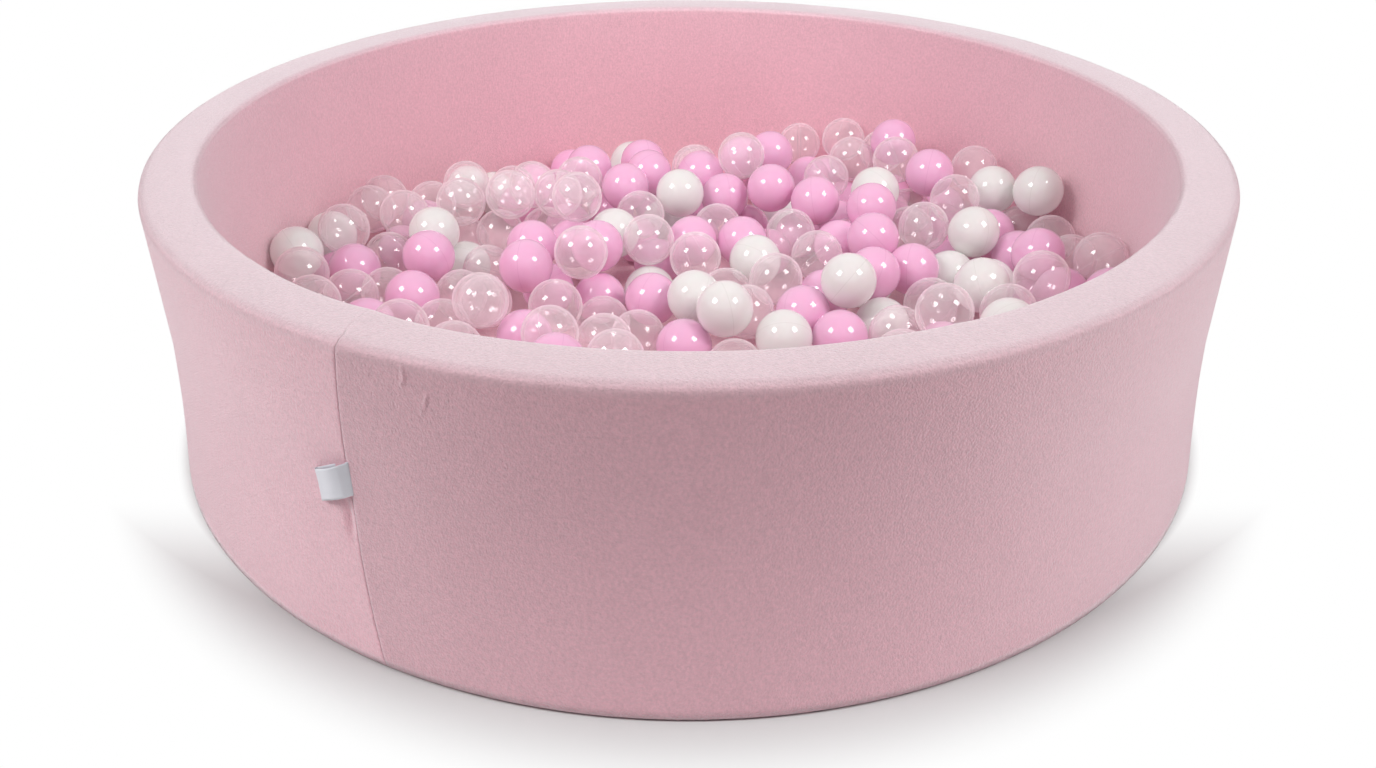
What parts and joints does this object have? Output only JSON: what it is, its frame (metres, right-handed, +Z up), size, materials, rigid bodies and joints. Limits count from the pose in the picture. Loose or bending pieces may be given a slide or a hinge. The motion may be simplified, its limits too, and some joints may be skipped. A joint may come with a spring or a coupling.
{
  "type": "ball pit",
  "caption": "Round soft foam tub in a zipped jersey cover, heaped with hollow plastic balls in pink, pearl white and clear.",
  "frame": {"origin": "middle of the flat underside", "axes": "+Z up out of the pit's mouth, the front with the wall seam and the label faces -Y"},
  "size_m": [1.2942, 1.2942, 0.346],
  "materials": {
    "foam": "open-cell polyurethane foam, matte",
    "jersey": "brushed cotton jersey, fine nap",
    "underside_cloth": "plain woven cloth",
    "label_ribbon": "satin ribbon",
    "zip_tape": "woven tape",
    "zip_chain": "nylon coil",
    "zip_metal": "nickel plated",
    "pink_ball": "smooth blow-moulded polyethylene",
    "white_ball": "pearl blow-moulded polyethylene",
    "clear_ball": "clear blow-moulded polyethylene"
  },
  "bodies": {
    "tub": {"foam_wall_front": "foam", "foam_wall_back": "foam", "foam_floor": "foam", "cover_sleeve": "jersey", "cover_floor": "jersey", "cover_underside": "underside_cloth", "floor_seam_welt": "jersey", "foot_seam_welt": "jersey", "wall_seam_allowance": "jersey", "zip_tape_outer": "zip_tape", "zip_tape_inner": "zip_tape", "zip_chain_outer": "zip_chain", "zip_chain_inner": "zip_chain", "zip_stop_closed": "zip_metal", "zip_stop_open": "zip_metal"},
    "ball_heap": {"ball_bed": "pink_ball", "clear_ball_01": "clear_ball", "clear_ball_02": "clear_ball", "clear_ball_03": "clear_ball", "clear_ball_04": "clear_ball", "clear_ball_05": "clear_ball", "clear_ball_06": "clear_ball", "clear_ball_07": "clear_ball", "clear_ball_08": "clear_ball", "clear_ball_09": "clear_ball", "clear_ball_10": "clear_ball", "clear_ball_11": "clear_ball", "clear_ball_12": "clear_ball", "clear_ball_13": "clear_ball", "clear_ball_14": "clear_ball", "clear_ball_15": "clear_ball", "clear_ball_16": "clear_ball", "clear_ball_17": "clear_ball", "clear_ball_18": "clear_ball", "pink_ball_01": "pink_ball", "pink_ball_02": "pink_ball", "pink_ball_03": "pink_ball", "pink_ball_04": "pink_ball", "pink_ball_05": "pink_ball", "white_ball_01": "white_ball", "white_ball_02": "white_ball", "white_ball_03": "white_ball"},
    "label": {"side_label": "label_ribbon"},
    "zip_slider": {"zip_slider": "zip_metal"},
    "zip_pull": {"zip_pull_tab": "zip_metal"},
    "loose_clear_ball_01": {"loose_clear_ball_01": "clear_ball"},
    "loose_clear_ball_02": {"loose_clear_ball_02": "clear_ball"},
    "loose_clear_ball_03": {"loose_clear_ball_03": "clear_ball"},
    "loose_clear_ball_04": {"loose_clear_ball_04": "clear_ball"},
    "loose_clear_ball_05": {"loose_clear_ball_05": "clear_ball"},
    "loose_clear_ball_06": {"loose_clear_ball_06": "clear_ball"},
    "loose_pink_ball_01": {"loose_pink_ball_01": "pink_ball"},
    "loose_pink_ball_02": {"loose_pink_ball_02": "pink_ball"},
    "loose_white_ball_01": {"loose_white_ball_01": "white_ball"},
    "loose_white_ball_02": {"loose_white_ball_02": "white_ball"},
    "loose_white_ball_03": {"loose_white_ball_03": "white_ball"},
    "loose_white_ball_04": {"loose_white_ball_04": "white_ball"}
  },
  "joints": [
    {"name": "ball_heap_lift", "type": "slide", "parent": "tub", "child": "ball_heap", "axis": [0, 0, 1], "range_m": [0, 0.45]},
    {"name": "label_flap", "type": "hinge", "parent": "tub", "child": "label", "pos_m": [-0.29795, -0.55563, 0.1905], "axis": [0, 0, 1], "range_deg": [0, 150]},
    {"name": "zip_run", "type": "hinge", "parent": "tub", "child": "zip_slider", "pos_m": [0, 0, 0.0009], "axis": [0, 0, 1], "range_deg": [0, 148]},
    {"name": "zip_pull_swing", "type": "hinge", "parent": "zip_slider", "child": "zip_pull", "pos_m": [0.5658, 0.19974, 0.0008], "axis": [-0.9458, -0.3249, 0], "range_deg": [0, 110]},
    {"name": "loose_clear_ball_01_lift", "type": "slide", "parent": "ball_heap", "child": "loose_clear_ball_01", "axis": [0, 0, 1], "range_m": [0, 0.35]},
    {"name": "loose_clear_ball_02_lift", "type": "slide", "parent": "ball_heap", "child": "loose_clear_ball_02", "axis": [0, 0, 1], "range_m": [0, 0.35]},
    {"name": "loose_clear_ball_03_lift", "type": "slide", "parent": "ball_heap", "child": "loose_clear_ball_03", "axis": [0, 0, 1], "range_m": [0, 0.35]},
    {"name": "loose_clear_ball_04_lift", "type": "slide", "parent": "ball_heap", "child": "loose_clear_ball_04", "axis": [0, 0, 1], "range_m": [0, 0.35]},
    {"name": "loose_clear_ball_05_lift", "type": "slide", "parent": "ball_heap", "child": "loose_clear_ball_05", "axis": [0, 0, 1], "range_m": [0, 0.35]},
    {"name": "loose_clear_ball_06_lift", "type": "slide", "parent": "ball_heap", "child": "loose_clear_ball_06", "axis": [0, 0, 1], "range_m": [0, 0.35]},
    {"name": "loose_pink_ball_01_lift", "type": "slide", "parent": "ball_heap", "child": "loose_pink_ball_01", "axis": [0, 0, 1], "range_m": [0, 0.35]},
    {"name": "loose_pink_ball_02_lift", "type": "slide", "parent": "ball_heap", "child": "loose_pink_ball_02", "axis": [0, 0, 1], "range_m": [0, 0.35]},
    {"name": "loose_white_ball_01_lift", "type": "slide", "parent": "ball_heap", "child": "loose_white_ball_01", "axis": [0, 0, 1], "range_m": [0, 0.35]},
    {"name": "loose_white_ball_02_lift", "type": "slide", "parent": "ball_heap", "child": "loose_white_ball_02", "axis": [0, 0, 1], "range_m": [0, 0.35]},
    {"name": "loose_white_ball_03_lift", "type": "slide", "parent": "ball_heap", "child": "loose_white_ball_03", "axis": [0, 0, 1], "range_m": [0, 0.35]},
    {"name": "loose_white_ball_04_lift", "type": "slide", "parent": "ball_heap", "child": "loose_white_ball_04", "axis": [0, 0, 1], "range_m": [0, 0.35]}
  ]
}
